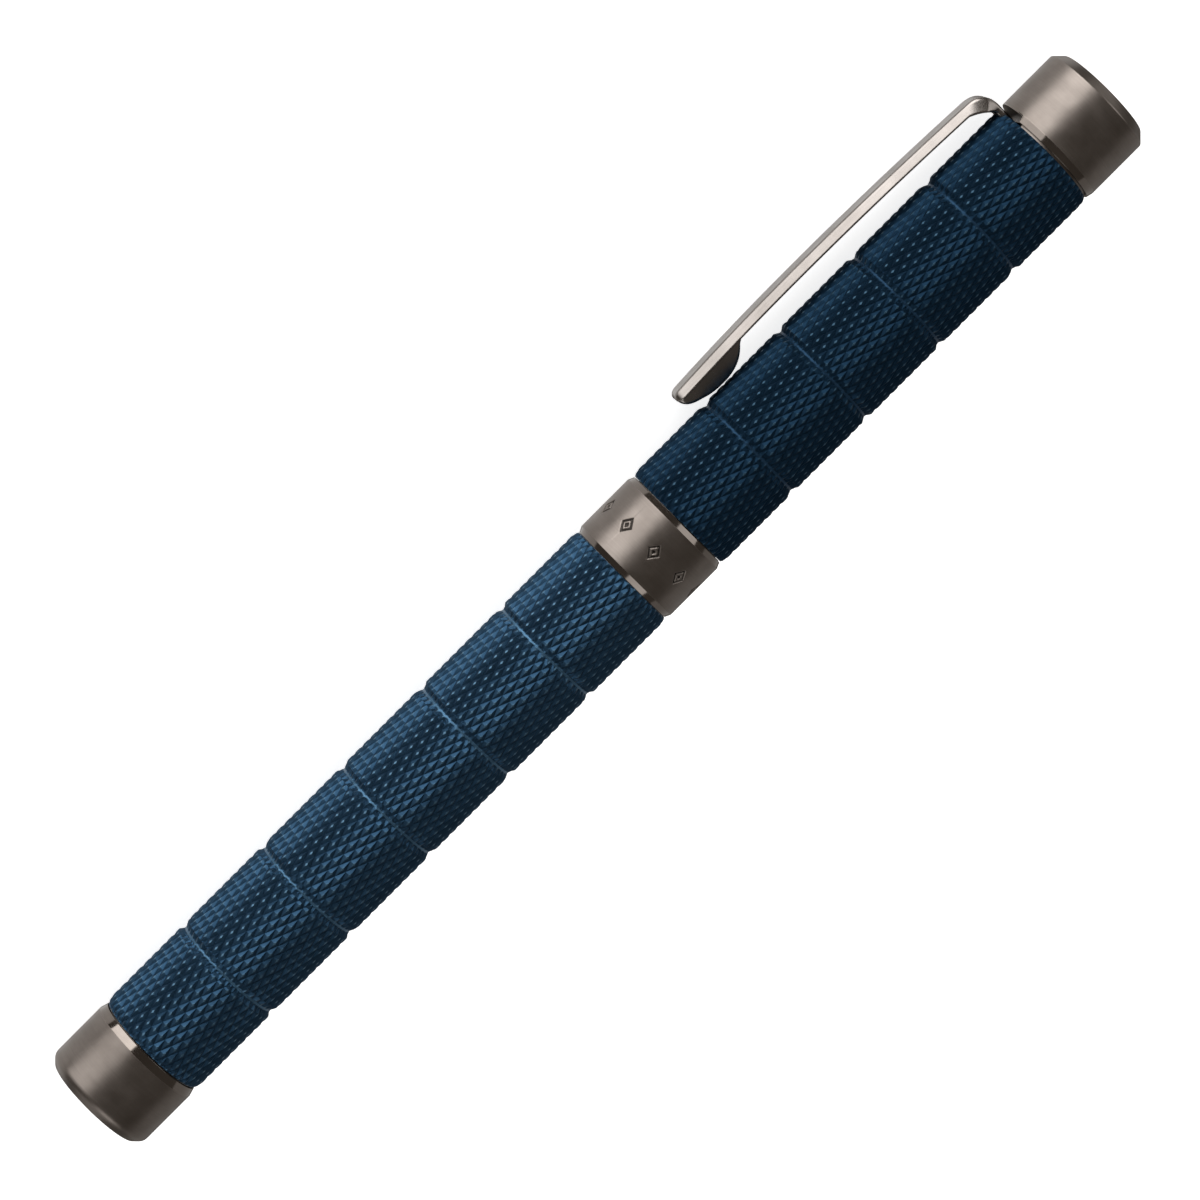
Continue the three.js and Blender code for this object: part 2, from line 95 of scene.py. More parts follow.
# Clip: half its width at its outer face, its underside and its root, then its tang, and the
# slot that is cut for the tang. Both reach in to a distance from the axis.
CLIP_OUTER = 1.4
CLIP_INNER = 1.95
CLIP_ROOT = 1.35
CLIP_ROOT_TOP = 6.4
TANG_START, TANG_END, TANG_REACH = 131.02, 131.8, 4.5
SLOT_START, SLOT_END, SLOT_REACH = 130.72, 132.35, 4.2
SLOT_WIDTH = 7.6
SLOT_OUTSIDE = 7.5

# Centre ring: its chamfers, its row of engraved lozenges and the depth they are cut to.
RING_SIDES = 600
RING_CHAMFER = 0.6
RING_CHAMFER_DEPTH = 0.28
ENGRAVED_DEPTH = 0.12
ENGRAVED_HALF_BAND = 1.0


# ---- the pen's own axes

def clip_direction():
    """Unit vector from the pen's axis to its clip, from the axis of the clip's hinge."""
    joints = frame["record"]["behaviour"]["joints"]
    hinge = next(j for j in joints if j["name"] == "clip_flex")
    return Vector((1, 0, 0)).cross(Vector(hinge["axis"])).normalized()


def pen_matrix():
    """The pen's own axes, from its tail, as they lie in the world."""
    low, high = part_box("barrel_tube")
    along = Vector((1, 0, 0))
    outward = clip_direction()
    across = along.cross(outward)
    origin = Vector((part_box("tail_cap")[0][0], (low[1] + high[1]) / 2, (low[2] + high[2]) / 2))
    turn = Matrix((along, outward, across)).transposed()
    return Matrix.Translation(origin) @ turn.to_4x4()


PEN = pen_matrix()


def extent(node):
    """First and last station and outer radius of a round CAD node, in millimetres."""
    low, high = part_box(node)
    tail = PEN.translation.x
    return (low[0] - tail) / MM, (high[0] - tail) / MM, (high[2] - low[2]) / 2 / MM


# ---- mesh building

def mesh_object(name, points, faces):
    """An object in the pen's axes from points in millimetres."""
    mesh = bpy.data.meshes.new(name)
    mesh.from_pydata(np.asarray(points, dtype=float) * MM, [], faces)
    mesh.shade_smooth()
    piece = bpy.data.objects.new(name, mesh)
    piece.matrix_world = PEN
    bpy.context.scene.collection.objects.link(piece)
    return piece


def grid_faces(rows, columns, closed):
    """Quads of a grid that is closed across its columns and, if asked, along its rows."""
    spans = rows if closed else rows - 1
    i = np.arange(spans)[:, None]
    j = np.arange(columns)[None, :]
    below, above = i * columns, (i + 1) % rows * columns
    after = (j + 1) % columns
    corners = (below + j, below + after, above + after, above + j)
    return np.stack(corners, axis=-1).reshape(-1, 4).tolist()


def round_points(stations, radii, angles):
    """Points round the pen's axis, from a row of radii for each station."""
    x = np.broadcast_to(stations[:, None], radii.shape)
    points = np.stack((x, radii * np.cos(angles), radii * np.sin(angles)), axis=-1)
    return points.reshape(-1, 3)


def revolved(name, stations, radii, closed):
    """A surface round the pen's axis. Each row of radii is one turn; a zero row is a pole."""
    columns = radii.shape[1]
    points = round_points(stations, radii, np.arange(columns) * 2 * np.pi / columns)
    faces = grid_faces(len(stations), columns, closed)
    if not closed:
        last = (len(stations) - 1) * columns
        faces = [merge_poles(f, columns, last) for f in faces]
        used = np.r_[0, np.arange(columns, last + 1)]
        renumber = np.zeros(len(points), dtype=int)
        renumber[used] = np.arange(len(used))
        points = points[used]
        faces = [[int(renumber[v]) for v in f] for f in faces]
    return mesh_object(name, points, faces)


def merge_poles(face, columns, last):
    """A face whose corners in the first and last rows are gathered into one vertex each."""
    moved = [0 if v < columns else last if v >= last else v for v in face]
    return list(dict.fromkeys(moved))


def rounded(outline, radius, steps=4):
    """An outline with its corners rounded, and whether it is closed.

    A corner may give its own radius as a third number, and no rounding takes more than a share
    of the sides beside it. Corners on the axis stay as they are. A point just outside each
    rounding keeps the shading of the flats beside it even.
    """
    share, outside = 0.4, 1.25
    closed = outline[0][1] > 0
    points = [np.array(p[:2], dtype=float) for p in outline]
    cuts = [p[2] if len(p) > 2 else radius for p in outline]
    out = []
    count = len(points)
    for i, here in enumerate(points):
        if not closed and i in (0, count - 1):
            out.append(here)
            continue
        before, after = points[i - 1], points[(i + 1) % count]
        back, ahead = before - here, after - here
        reach = min(cuts[i], share * np.linalg.norm(back), share * np.linalg.norm(ahead))
        start = here + back / np.linalg.norm(back) * reach
        end = here + ahead / np.linalg.norm(ahead) * reach
        out.append(here + (start - here) * outside)
        for t in np.linspace(0, 1, steps + 1):
            out.append((1 - t) ** 2 * start + 2 * t * (1 - t) * here + t**2 * end)
        out.append(here + (end - here) * outside)
    return out, closed


def turned(name, outline, edge=0.06, sides=128, polished=None):
    """A round piece from its outline, with its edges broken by a small radius.

    Its outer surface between the two polished stations, if given, is smoother than the rest.
    """
    points, closed = rounded(outline, edge)
    stations = np.array([p[0] for p in points])
    radii = np.array([p[1] for p in points])
    area = np.sum(stations * np.roll(radii, -1) - np.roll(stations, -1) * radii)
    if area > 0:
        stations, radii = stations[::-1], radii[::-1]
    piece = revolved(name, stations, np.repeat(radii[:, None], sides, axis=1), closed)
    if polished:
        margin, outside = 0.03, 5.7
        first, last = polished
        along = np.array([v.co.x for v in piece.data.vertices]) / MM
        out = np.array([math.hypot(v.co.y, v.co.z) for v in piece.data.vertices]) / MM
        smooth = (along > first - margin) & (along < last + margin) & (out > outside)
        add_value(piece, "polish", smooth)
    return piece


def swept(name, centres, sections):
    """A closed tube whose section at each centre is a ring of points in the pen's axes."""
    rings = [np.asarray(c) + np.asarray(s) for c, s in zip(centres, sections)]
    columns = len(rings[0])
    points = np.concatenate(rings)
    faces = grid_faces(len(rings), columns, closed=False)
    last = (len(rings) - 1) * columns
    faces.append(list(range(columns))[::-1])
    faces.append([last + j for j in range(columns)])
    return mesh_object(name, points, faces)


def combine(piece, other, operation):
    """Joins or cuts a piece with another, which is then gone."""
    modifier = piece.modifiers.new("combine", "BOOLEAN")
    modifier.operation = operation
    modifier.object = other
    modifier.solver = "EXACT"
    bpy.context.view_layer.update()
    depsgraph = bpy.context.evaluated_depsgraph_get()
    piece.data = bpy.data.meshes.new_from_object(piece.evaluated_get(depsgraph))
    piece.modifiers.clear()
    bpy.data.objects.remove(other)


def cut(piece, low, high):
    """Cuts a box given by its corners in millimetres out of a piece."""
    low, high = np.array(low), np.array(high)
    corners = [[(low, high)[(k >> a) & 1][a] for a in range(3)] for k in range(8)]
    faces = [(0, 2, 3, 1), (4, 5, 7, 6), (0, 1, 5, 4), (2, 6, 7, 3), (0, 4, 6, 2), (1, 3, 7, 5)]
    combine(piece, mesh_object("cutter", corners, faces), "DIFFERENCE")


def split_edges(piece, degrees=35):
    """Keeps corners sharper than an angle crisp."""
    piece.data.set_sharp_from_angle(angle=math.radians(degrees))


def add_value(piece, name, values):
    """A number at each vertex of a piece, for its material to read."""
    layer = piece.data.attributes.new(name, "FLOAT", "POINT")
    layer.data.foreach_set("value", np.asarray(values, dtype=np.float32).ravel())


# ---- node materials

def set_range(node, source, target):
    """Makes a map node spread the range of its source over its target."""
    for word, (low, high) in (("From", source), ("To", target)):
        node.inputs[word + " Min"].default_value = low
        node.inputs[word + " Max"].default_value = high


class Nodes:
    """A material's node tree, with short ways to add and join nodes."""

    def __init__(self, name):
        self.material = bpy.data.materials.new(name)
        self.material.use_nodes = True
        self.tree = self.material.node_tree
        self.shader = self.tree.nodes["Principled BSDF"]

    def add(self, kind, **inputs):
        """A new node with some of its inputs set. An underscore stands for a space."""
        node = self.tree.nodes.new(kind)
        for key, value in inputs.items():
            self.set(node, key.replace("_", " "), value)
        return node

    def set(self, node, key, value):
        """Sets a node's input, or joins it to another node's output."""
        socket = node.inputs[key]
        if isinstance(value, bpy.types.NodeSocket):
            self.tree.links.new(value, socket)
        else:
            socket.default_value = value

    def noise(self, scale, detail=3.0, stretch=(1, 1, 1), roughness=0.55):
        """Noise in the object's own space, finer along the axes with a larger stretch."""
        place = self.add("ShaderNodeTexCoord").outputs["Object"]
        mapping = self.add("ShaderNodeMapping", Vector=place, Scale=stretch)
        node = self.add("ShaderNodeTexNoise", Scale=scale, Detail=detail, Roughness=roughness)
        self.set(node, "Vector", mapping.outputs[0])
        return node.outputs[0]

    def between(self, value, low, high, start=0.3, end=0.7):
        """A value spread over a range of numbers."""
        node = self.add("ShaderNodeMapRange", Value=value)
        set_range(node, (start, end), (low, high))
        return node.outputs[0]

    def blend(self, factor, first, second):
        """A mix of two colours, or of two colour sockets."""
        node = self.tree.nodes.new("ShaderNodeMix")
        node.data_type = "RGBA"
        self.set(node, 0, factor)
        for index, value in ((6, first), (7, second)):
            if isinstance(value, tuple):
                value = (*value, 1.0)
            self.set(node, index, value)
        return node.outputs[2]

    def mix(self, factor, first, second):
        """A mix of two numbers."""
        node = self.tree.nodes.new("ShaderNodeMix")
        for index, value in ((0, factor), (2, first), (3, second)):
            self.set(node, index, value)
        return node.outputs[0]

    def bump(self, height, strength, distance):
        node = self.add("ShaderNodeBump", Height=height, Strength=strength, Distance=distance)
        return node.outputs[0]

    def value(self, name):
        """A number stored at the vertices."""
        node = self.tree.nodes.new("ShaderNodeAttribute")
        node.attribute_name = name
        return node.outputs["Fac"]

    def shade(self, **inputs):
        """Sets the shader's inputs and gives the material."""
        for key, value in inputs.items():
            name = key.replace("_", " ")
            if isinstance(value, tuple):
                value = (*value, 1.0)
            self.set(self.shader, name, value)
        return self.material


def brushed_metal(name, light, dark, low, high, along):
    """Satin metal with fine lines that run round the pen's axis, or along it.

    Its roughness lies between low and high, except where it is polished.
    """
    polished = 0.11
    n = Nodes(name)
    stretch = (0.03, 1, 1) if along else (1, 0.03, 0.03)
    lines = n.noise(9000, detail=4, stretch=stretch, roughness=0.7)
    patches = n.noise(260, detail=4)
    tone = n.blend(n.between(patches, 0, 1, 0.35, 0.65), light, dark)
    tone = n.blend(n.between(lines, 0.0, 0.35, 0.4, 0.8), tone, tuple(0.72 * c for c in dark))
    tone = n.blend(n.value("engraved"), tone, tuple(0.2 * c for c in dark))
    smears = n.noise(700, detail=5, stretch=(1, 0.5, 0.5))
    gloss = n.mix(n.value("polish"), n.between(smears, low, high), polished)
    hairs = n.bump(lines, 0.22, 4e-6)
    return n.shade(Base_Color=tone, Metallic=1.0, Roughness=gloss, Normal=hairs)


def anodised(name, top, crest, valley, groove, metal):
    """Blue anodised metal: valleys painted darker as shade and dirt, crests lighter, flat tops
    lighter as wear and a painted highlight, turned grooves bright.
    """
    n = Nodes(name)
    height = n.value("crest")
    mottle = n.noise(420, detail=4)
    # The valleys' darker blue is painted shade in the knurl's grooves, with some dirt.
    body = n.blend(n.between(height, 0, 1, 0.05, 0.9), valley, crest)
    body = n.blend(n.between(mottle, 0.0, 0.3), body, tuple(0.6 * c for c in valley))
    # The flat tops' lighter blue is partly rubbed wear, partly a painted highlight.
    body = n.blend(n.between(height, 0, 1, 0.9, 1), body, top)
    body = n.blend(n.value("groove"), body, groove)
    grit = n.noise(16000, detail=3)
    gloss = n.between(n.noise(900, detail=4), 0.32, 0.44)
    return n.shade(
        Base_Color=body,
        Metallic=metal,
        Specular_IOR_Level=0.0,
        Roughness=gloss,
        Normal=n.bump(grit, 0.15, 6e-6),
    )


def plain_metal(name, color, low, high, scale=5000):
    """Turned or drawn metal with faint tool marks round the axis."""
    n = Nodes(name)
    marks = n.noise(scale, detail=3, stretch=(1, 0.05, 0.05))
    tarnish = n.noise(500, detail=5)
    tone = n.blend(n.between(tarnish, 0, 0.6), color, tuple(0.7 * c for c in color))
    gloss = n.between(n.noise(1200, detail=3), low, high)
    return n.shade(Base_Color=tone, Metallic=1.0, Roughness=gloss, Normal=n.bump(marks, 0.2, 5e-6))


def moulded(name, color, low, high, grain=9000, depth=4e-6):
    """Moulded plastic, rubber or bonded fibre with a fine grain."""
    n = Nodes(name)
    speckle = n.noise(grain, detail=3)
    cloud = n.noise(350, detail=4)
    tone = n.blend(n.between(cloud, 0, 0.5), color, tuple(min(1.0, 1.5 * c + 0.01) for c in color))
    gloss = n.between(n.noise(1500, detail=3), low, high)
    return n.shade(Base_Color=tone, Roughness=gloss, Normal=n.bump(speckle, 0.35, depth))


def finishes():
    """Every finish of the pen, by name."""
    gunmetal_light, gunmetal_dark = (0.228, 0.200, 0.180), (0.182, 0.158, 0.141)
    steel_light, steel_dark = (0.30, 0.275, 0.258), (0.25, 0.228, 0.212)
    return {
        "gunmetal": brushed_metal("gunmetal", gunmetal_light, gunmetal_dark, 0.32, 0.42, False),
        # In both blues the top colour is partly wear, partly a painted highlight; the valley colour
        # is painted shade with some dirt.
        "barrel_blue": anodised(
            "barrel_blue",
            top=(0.075, 0.148, 0.222),
            crest=(0.025, 0.059, 0.103),
            valley=(0.018, 0.047, 0.087),
            groove=(0.060, 0.130, 0.210),
            metal=0.85,
        ),
        # The cap's blue is a darker copy of the barrel's: painted shade on the cap.
        "shaded_cap_blue": anodised(
            "shaded_cap_blue",
            top=(0.036, 0.077, 0.118),
            crest=(0.0080, 0.0230, 0.0440),
            valley=(0.0068, 0.0205, 0.0400),
            groove=(0.016, 0.040, 0.075),
            metal=0.62,
        ),
        "clip_steel": brushed_metal("clip_steel", steel_light, steel_dark, 0.20, 0.30, True),
        "bright_steel": plain_metal("bright_steel", (0.60, 0.58, 0.56), 0.16, 0.26),
        "ring_steel": plain_metal("ring_steel", (0.22, 0.20, 0.185), 0.26, 0.36),
        "refill_steel": plain_metal("refill_steel", (0.55, 0.56, 0.57), 0.24, 0.36),
        "brass": plain_metal("brass", (0.62, 0.43, 0.17), 0.22, 0.36),
        "black_plastic": moulded("black_plastic", (0.012, 0.012, 0.013), 0.32, 0.48),
        "rubber": moulded("rubber", (0.010, 0.010, 0.011), 0.62, 0.8),
        "ink_fibre": moulded("ink_fibre", (0.010, 0.018, 0.055), 0.8, 0.95, 4000, 3e-5),
        "carbide": plain_metal("carbide", (0.42, 0.42, 0.43), 0.08, 0.16),
    }


FINISH = finishes()
BODY_OF = {
    node: body
    for body, nodes in frame["record"]["behaviour"]["bodies"].items()
    for node in nodes
}


def finish_piece(piece, node, finish):
    """Gives a piece its place and material and lets it stand for a CAD node, on its body."""
    piece.data.transform(PEN)
    piece.matrix_world = Matrix.Identity(4)
    piece.data.materials.clear()
    piece.data.materials.append(FINISH[finish])
    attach(piece, BODY_OF[node])
    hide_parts(node)


# ---- knurled tubes

def ridge(phase):
    """1 on a ridge line, where the phase is whole, and 0 in the groove halfway between."""
    return np.abs(2 * (phase - np.floor(phase)) - 1)


def groove_depth(distance):
    """How deep a turned groove is at a distance from its middle."""
    slope = GROOVE_WIDTH / 2 - GROOVE_FLOOR / 2
    return GROOVE_DEPTH * np.clip((GROOVE_WIDTH / 2 - distance) / slope, 0, 1)


def knurl_phases(halves):
    """Where the mesh has lines on a number of half diamonds, counted in whole diamonds."""
    return (np.arange(halves)[:, None] / 2 + HALF_DIAMOND).ravel()


def knurl_wave(along, around):
    """1 on the flats of the diamonds and 0 in the grooves between them."""
    crest = 1 - 2 * KNURL_FLAT
    return np.minimum(np.minimum(ridge(along + around), ridge(along - around)), crest) / crest


def tube_rows(start, end, grooves):
    """Stations of a knurled tube's rows: those of the knurl, and closer ones at the grooves."""
    halves = math.ceil(2 * (end - start) / KNURL_LENGTH)
    rows = list(start + KNURL_LENGTH * knurl_phases(halves))
    near = np.array([0.03, 0.08, 0.15, 0.25, 0.38, 0.51, 0.66])
    groove_room, edge_room = 0.03, 0.05
    for groove in grooves:
        rows = [s for s in rows if abs(s - groove) > near[-1] + groove_room]
        rows += list(groove - near) + list(groove + near)
    edge = np.array([0, 0.03, 0.07, 0.13, 0.21, 0.32, 0.45, TUBE_EDGE])
    first, last = start + TUBE_EDGE + edge_room, end - TUBE_EDGE - edge_room
    rows = [s for s in rows if first < s < last]
    return np.array(sorted(rows + list(start + edge) + list(end - edge)))


def knurled_tube(node, segments, bore, finish):
    """A tube with diamond knurling on equal segments parted by turned grooves."""
    start, end, radius = extent(node)
    pitch = (end - start + SEGMENT_GAP) / segments
    grooves = start + pitch * np.arange(1, segments) - SEGMENT_GAP / 2
    rows = tube_rows(start, end, grooves)
    around = knurl_phases(2 * KNURL_COUNT)
    wave = knurl_wave((rows - start)[:, None] / KNURL_LENGTH, around[None, :])
    from_edge = np.minimum(rows - start, end - rows)
    from_groove = np.min([np.abs(rows - g) for g in grooves], axis=0)
    outer = knurled_radii(radius, wave, from_edge, from_groove)
    columns = len(around)
    lip = 0.1
    inside = np.full((1, columns), bore)
    mouth = np.full((1, columns), bore + lip)
    radii = np.concatenate((inside, mouth, outer, mouth, inside))
    stations = np.concatenate(([start + lip, start], rows, [end, end - lip]))
    points = round_points(stations, radii, around * 2 * np.pi / KNURL_COUNT)
    faces = creased_faces((stations - start) / KNURL_LENGTH, around)
    piece = mesh_object(node + "_knurled", points, faces)
    margin = 0.02
    floor = (from_groove < GROOVE_FLOOR / 2 + margin)[:, None] * np.ones_like(outer)
    blank = np.zeros((2, columns))
    # crest is 1 on the flats and 0 in the valleys; the blue paints the valleys darker as shade and
    # the flats lighter as a highlight.
    add_value(piece, "crest", np.concatenate((blank, wave, blank)))
    add_value(piece, "groove", np.concatenate((blank, floor, blank)))
    split_edges(piece, 20)
    finish_piece(piece, node, finish)


def knurled_radii(radius, wave, from_edge, from_groove):
    """Radii of a knurled tube's rows, which drop at its ends, in the grooves and in the knurl."""
    drop = TUBE_EDGE_DEPTH * np.clip(1 - from_edge / TUBE_EDGE, 0, 1) ** TUBE_EDGE_CURVE
    cuts = groove_depth(from_groove)
    edge_lead = 0.05
    from_plain = np.minimum(from_groove, from_edge + edge_lead) - GROOVE_FLOOR / 2
    share = np.clip(from_plain / KNURL_RUN_OUT, 0, 1)
    return radius - (drop + cuts)[:, None] - KNURL_DEPTH * (1 - wave) * share[:, None]


def creased_faces(along, around):
    """Triangles of a knurled tube, whose quads are parted along the knurl's own creases.

    Of a quad's two diagonals, the one that lies closer to the knurl at its middle is taken.
    """
    middle_along = (along + np.roll(along, -1))[:, None] / 2
    middle_around = (around + np.append(around[1:], KNURL_COUNT))[None, :] / 2
    real = knurl_wave(middle_along, middle_around)
    here = knurl_wave(along[:, None], around[None, :])
    beside = np.roll(here, -1, axis=1)
    above = np.roll(here, -1, axis=0)
    across = np.roll(above, -1, axis=1)
    falling = np.abs((beside + above) / 2 - real) < np.abs((here + across) / 2 - real)
    quads = np.array(grid_faces(len(along), len(around), closed=True))
    falling = falling.reshape(-1, 1)
    first = np.where(falling, quads[:, [0, 1, 3]], quads[:, [0, 1, 2]])
    second = np.where(falling, quads[:, [1, 2, 3]], quads[:, [0, 2, 3]])
    return np.concatenate((first, second)).tolist()


# ---- barrel

def tail_cap():
    """The barrel's end, hollow inside for the fitting that holds it."""
    start, end, radius = extent("tail_cap")
    pocket = 2
    lip, chamfer = end - TAIL_GAP, end - 0.85
    piece = turned("tail_cap_turned", [
        (start, 0),
        (start, radius - 0.8, 0.12),
        (start + 0.8, radius, 0.4),
        (chamfer, radius, 0.03),
        (lip, radius - 0.24, 0.03),
        (lip, radius - 0.55, 0.03),
        (end, radius - 0.55, 0.03),
        (end, THREAD_RADIUS + 0.05),
        (pocket, THREAD_RADIUS + 0.05),
        (pocket, 0),
    ], sides=192, polished=(chamfer, lip))
    finish_piece(piece, "tail_cap", "gunmetal")


def tail_fitting():
    """The brass plug in the tail, with a pocket for the spring."""
    start, end, radius = extent("tail_fitting")
    flange, pocket, pocket_bore = 8.3, 6, 2.75
    piece = turned("tail_fitting_turned", [
        (start, 0),
        (start, THREAD_RADIUS - 0.05),
        (flange, THREAD_RADIUS - 0.05),
        (flange, radius),
        (end, radius),
        (end, pocket_bore),
        (pocket, pocket_bore),
        (pocket, 0),
    ])
    finish_piece(piece, "tail_fitting", "brass")


def refill_spring():
    """A coil of round wire with its two end turns closed up."""
    start, end, outer = extent("refill_spring")
    wire = 0.21
    coil = outer - wire - 0.01
    turns, steps = 6.5, 40
    share = np.linspace(0, 1, int(turns * steps) + 1)
    angle = 2 * np.pi * turns * share
    closing, closed_rise = 0.13, 0.12
    eased = np.clip((share - closing) / (1 - 2 * closing), 0, 1)
    rise = closed_rise * share + (1 - closed_rise) * eased
    station = start + wire + (end - start - 2 * wire) * rise
    centres = np.stack((station, coil * np.cos(angle), coil * np.sin(angle)), axis=-1)
    sides = 14
    ring = np.arange(sides) * 2 * np.pi / sides
    side = np.array([1, 0, 0])
    sections = []
    for a in angle:
        out = np.array([0, math.cos(a), math.sin(a)])
        sections.append([wire * (math.cos(t) * out + math.sin(t) * side) for t in ring])
    piece = swept("refill_spring_coil", centres, sections)
    finish_piece(piece, "refill_spring", "bright_steel")


def thread_rows(start, end):
    """Stations of a thread's rows, ten to a turn."""
    return np.arange(start, end + 1e-6, THREAD_PITCH / 10)


def thread_wave(rows, shift):
    """0 on a thread's crest and 1 in its root, for each row and each side."""
    turn = np.arange(THREAD_SIDES)[None, :] / THREAD_SIDES
    return 1 - ridge(rows[:, None] / THREAD_PITCH - turn + shift)


def plain_rows(steps):
    """Radii of an outline's round steps, for each side of a threaded piece."""
    return np.array([[radius] * THREAD_SIDES for _, radius in steps])


def threaded(before, rows, thread, after):
    """Stations and radii of an outline with a thread between its plain steps."""
    stations = np.concatenate(([s for s, _ in before], rows, [s for s, _ in after]))
    return stations, np.concatenate((plain_rows(before), thread, plain_rows(after)))


def thread_bush():
    """The bush in the barrel's mouth, with a real internal thread and a seat for the seal."""
    start, end, outer = extent("thread_bush")
    bore, seat, seat_radius = 4.3, 71.6, 4.8
    plain, depth = 0.3, 0.28
    rows = thread_rows(start + plain, seat - plain)
    thread = bore + depth * thread_wave(rows, 0.5)
    before = [(start, outer), (start, bore + plain)]
    after = [(seat, bore + 0.02), (seat, seat_radius), (end, seat_radius), (end, outer)]
    stations, radii = threaded(before, rows, thread, after)
    piece = revolved("thread_bush_threaded", stations[::-1], radii[::-1], closed=True)
    split_edges(piece)
    finish_piece(piece, "thread_bush", "brass")


# ---- refill

def refill_inside():
    """Inner radius of the refill's tube."""
    return extent("refill_end_plug")[2] - 0.4


def wick_bore():
    """Radius of the bore that the wick runs through."""
    return extent("ink_wick")[2] + 0.1


def refill_end_plug():
    start, end, radius = extent("refill_end_plug")
    head, spigot = start + 0.9, refill_inside() - 0.05
    piece = turned("refill_end_plug_turned", [
        (start, 0),
        (start, radius - 0.4, 0.15),
        (start + 0.4, radius, 0.15),
        (head, radius),
        (head, spigot),
        (end, spigot),
        (end, 0),
    ])
    finish_piece(piece, "refill_end_plug", "black_plastic")


def refill_tube():
    """The refill's steel tube, crimped near its front."""
    start, end, radius = extent("refill_tube")
    inside, crimp = refill_inside(), end - 1.6
    piece = turned("refill_tube_crimped", [
        (start, inside),
        (start, radius - 0.1),
        (start + 0.15, radius),
        (crimp - 0.5, radius, 0.2),
        (crimp, radius - 0.18, 0.2),
        (crimp + 0.5, radius, 0.2),
        (end - 0.15, radius),
        (end, radius - 0.1),
        (end, inside),
    ])
    finish_piece(piece, "refill_tube", "refill_steel")


def ink_rods():
    """The fibre reservoir, bored at its front for the wick, and the wick."""
    start, end, radius = extent("ink_reservoir")
    bore, bore_end = wick_bore(), extent("ink_wick")[0] - 0.2
    reservoir = turned("ink_reservoir_rod", [
        (start, 0),
        (start, radius, 0.3),
        (end, radius, 0.3),
        (end, bore),
        (bore_end, bore),
        (bore_end, 0),
    ])
    finish_piece(reservoir, "ink_reservoir", "ink_fibre")

    start, end, radius = extent("ink_wick")
    wick_rod = turned("ink_wick_rod", [
        (start, 0),
        (start, radius, 0.2),
        (end, radius, 0.35),
        (end, 0),
    ], sides=48)
    finish_piece(wick_rod, "ink_wick", "ink_fibre")


def refill_feed():
    """The feed: a spigot in the tube, a flange, and a ribbed neck with a seat for the tip."""
    start, end, radius = extent("refill_feed")
    bore, spigot = wick_bore(), refill_inside() - 0.05
    flange, flange_end, neck = 108.1, 109.0, 1.75
    seat, seat_radius = 117.4, 1.15
    ribs = [
        (s + d, neck - depth)
        for s in np.arange(110.5, 116.6, 1.0)
        for d, depth in ((-0.2, 0.0), (-0.1, 0.12), (0.1, 0.12), (0.2, 0.0))
    ]
    piece = turned("refill_feed_turned", [
        (start, bore),
        (start, spigot),
        (flange, spigot),
        (flange, radius),
        (flange_end, radius, 0.1),
        (flange_end, neck),
        *ribs,
        (end, neck),
        (end, seat_radius),
        (seat, seat_radius),
        (seat, bore),
    ])
    finish_piece(piece, "refill_feed", "black_plastic")


def refill_tip():
    """The writing tip: a spigot, a collar and a cone crimped round the ball."""
    start, end, radius = extent("refill_tip")
    _, ball_end, ball = extent("writing_ball")
    socket, socket_floor = ball + 0.05, ball_end - 2 * ball - 0.1
    bore, spigot, collar = wick_bore(), 1.1, 119.05
    channel, channel_start = 0.25, 118.7
    piece = turned("refill_tip_turned", [
        (start, bore),
        (start, spigot),
        (collar, spigot),
        (collar, radius),
        (collar + 0.55, radius),
        (collar + 0.75, radius - 0.12),
        (end - 1.1, 0.72, 0.3),
        (end - 0.9, 0.62, 0.1),
        (end, socket + 0.1, 0.03),
        (end, socket, 0.02),
        (socket_floor, socket),
        (socket_floor, channel),
        (channel_start, channel),
        (channel_start, bore),
    ], edge=0.03, sides=96)
    finish_piece(piece, "refill_tip", "refill_steel")


def writing_ball():
    _, end, radius = extent("writing_ball")
    arc = np.linspace(math.pi, 0, 25)
    stations = end - radius + radius * np.cos(arc)
    heights = radius * np.sin(arc)
    heights[[0, -1]] = 0
    radii = np.repeat(heights[:, None], 48, axis=1)
    piece = revolved("writing_ball_ground", stations, radii, closed=False)
    finish_piece(piece, "writing_ball", "carbide")


# ---- grip section

def section_coupling():
    """The brass sleeve with the section's external thread."""
    start, end, outer = extent("section_coupling")
    step, sleeve = 75.2, 3.9
    thread_end, depth = 71.2, 0.32
    rows = thread_rows(start + 0.3, thread_end)
    thread = outer - depth * thread_wave(rows, 0)
    before = [(start, REFILL_BORE), (start, outer - 0.36), (start + 0.15, outer - depth)]
    after = [
        (thread_end + 0.15, outer - 0.3),
        (thread_end + 0.3, outer - 0.3),
        (thread_end + 0.45, outer),
        (step, outer),
        (step, sleeve),
        (end, sleeve),
        (end, REFILL_BORE),
    ]
    stations, radii = threaded(before, rows, thread, after)
    piece = revolved("section_coupling_threaded", stations, radii, closed=True)
    split_edges(piece)
    finish_piece(piece, "section_coupling", "brass")


def section_seal():
    """A rubber ring of round section."""
    start, end, outer = extent("section_seal")
    wire = (end - start) / 2
    ring = np.arange(24) * 2 * np.pi / 24
    stations = (start + end) / 2 + wire * np.cos(ring)
    radii = np.repeat((outer - wire + wire * np.sin(ring))[:, None], 96, axis=1)
    piece = revolved("section_seal_ring", stations[::-1], radii[::-1], closed=True)
    finish_piece(piece, "section_seal", "rubber")


